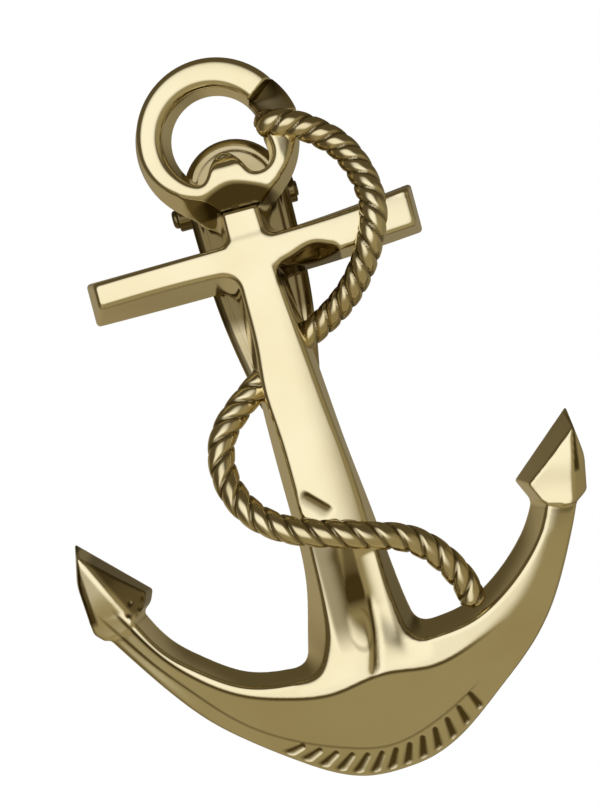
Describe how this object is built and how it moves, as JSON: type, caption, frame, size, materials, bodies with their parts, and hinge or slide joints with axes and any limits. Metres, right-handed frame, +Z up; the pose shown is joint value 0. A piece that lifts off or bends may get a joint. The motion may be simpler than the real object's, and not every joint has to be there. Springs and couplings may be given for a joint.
{
  "type": "sew-on anchor button",
  "caption": "Polished brass anchor button with a cast rope winding round it and a hinged, snap-shut sewing loop on its back.",
  "frame": {"origin": "middle of the sewing loop's opening, where the thread or strap runs", "axes": "+Z up the anchor's shank towards its ring, front of the anchor faces -Y, loop on +Y, thread runs along X"},
  "size_m": [0.0327, 0.0109, 0.0459],
  "materials": {
    "polished_brass": "polished pale brass with soft cast irregularities",
    "rope_brass": "polished on the crests, darker in the twist grooves",
    "loop_brass": "polished, with fine drawn lines"
  },
  "bodies": {
    "anchor": {"anchor_body": "polished_brass", "anchor_ring": "polished_brass", "left_fluke": "polished_brass", "right_fluke": "polished_brass", "rope": "rope_brass", "rope_hitch": "rope_brass", "loop_backplate": "loop_brass", "upper_post": "loop_brass", "lower_post": "loop_brass", "hinge_tube_left": "loop_brass", "hinge_tube_right": "loop_brass", "hinge_pin": "loop_brass", "catch_stud": "loop_brass"},
    "rear_leaf_body": {"rear_leaf": "loop_brass", "hinge_tube_centre": "loop_brass"}
  },
  "joints": [
    {"name": "rear_leaf_hinge", "type": "hinge", "parent": "anchor", "child": "rear_leaf_body", "pos_m": [0, -0.00145, 0.00645], "axis": [1, 0, 0], "range_deg": [0, 100]}
  ]
}
